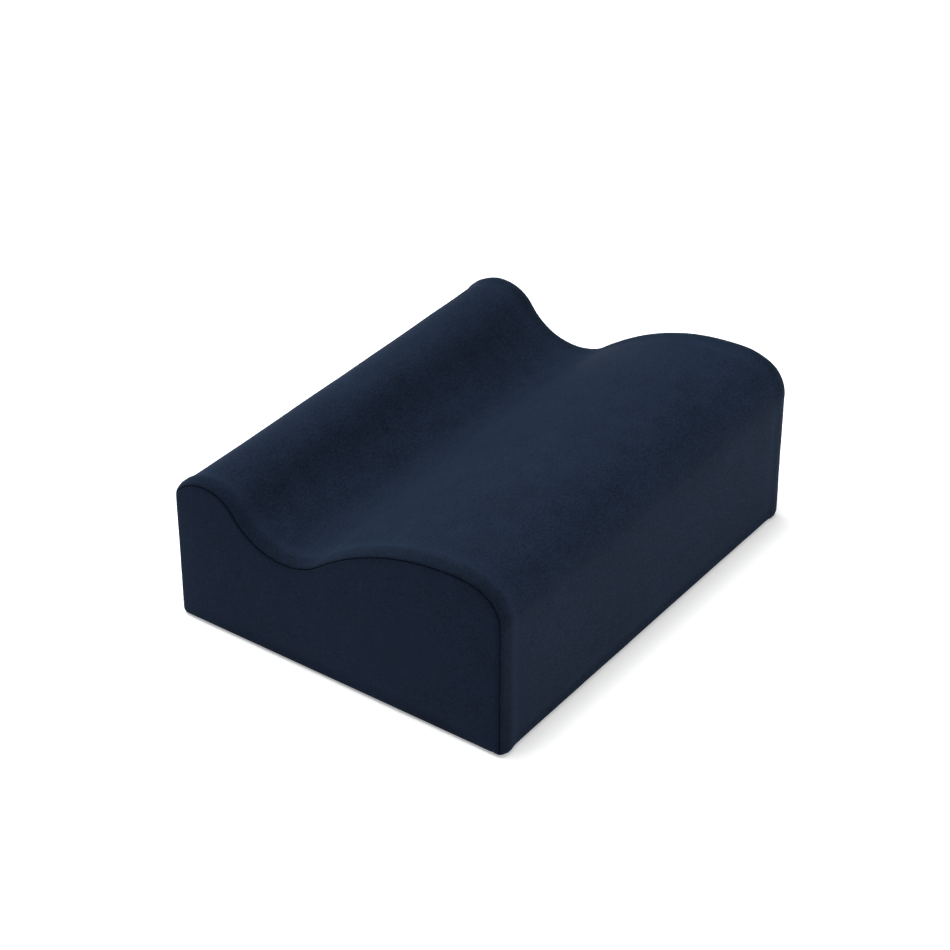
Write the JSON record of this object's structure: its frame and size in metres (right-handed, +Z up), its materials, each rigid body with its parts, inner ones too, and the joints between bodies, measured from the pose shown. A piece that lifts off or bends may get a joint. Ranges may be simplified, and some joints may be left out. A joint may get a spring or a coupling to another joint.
{
  "type": "contoured cervical support pillow",
  "caption": "Foam neck-support block with a high rounded front, a neck hollow and a narrower back crest, in a stretch fabric cover zipped along the back wall.",
  "frame": {"origin": "middle of the footprint, on the surface the block rests on", "axes": "+X along the block's length, -Y towards the high front side, +Y towards the back wall with the zip, +Z up"},
  "size_m": [0.372, 0.294, 0.14],
  "materials": {
    "cover_fabric": "matte",
    "cover_thread": "matte",
    "liner_knit": "matte",
    "liner_thread": "matte",
    "foam": "matte",
    "zip_tape": "matte",
    "zip_coil": "satin",
    "zip_metal": "satin",
    "label_satin": "satin"
  },
  "bodies": {
    "pillow": {"foam_core": "foam", "liner_sleeve": "liner_knit", "liner_end_left": "liner_knit", "liner_end_right": "liner_knit", "liner_seam_stitch_left": "liner_thread", "liner_seam_stitch_right": "liner_thread", "cover_wrap_panel": "cover_fabric", "cover_end_panel_left": "cover_fabric", "cover_end_panel_right": "cover_fabric", "cover_base_panel": "cover_fabric", "end_seam_thread_left": "cover_thread", "end_seam_thread_right": "cover_thread", "base_seam_thread": "cover_thread", "zip_tape_upper": "zip_tape", "zip_tape_lower": "zip_tape", "zip_coil_upper": "zip_coil", "zip_coil_lower": "zip_coil", "zip_topstitch_upper": "cover_thread", "zip_topstitch_lower": "cover_thread", "zip_bar_tacks": "cover_thread", "zip_top_stops": "zip_metal", "zip_bottom_stop": "zip_metal", "care_label": "label_satin"},
    "slider": {"zip_slider": "zip_metal"},
    "pull": {"zip_pull": "zip_metal"}
  },
  "joints": [
    {"name": "zip_slide", "type": "slide", "parent": "pillow", "child": "slider", "axis": [-1, 0, 0], "range_m": [0, 0.3129]},
    {"name": "pull_swing", "type": "hinge", "parent": "slider", "child": "pull", "pos_m": [0.15645, 0.1471, 0.022], "axis": [0, 0, -1], "range_deg": [0, 180]}
  ]
}
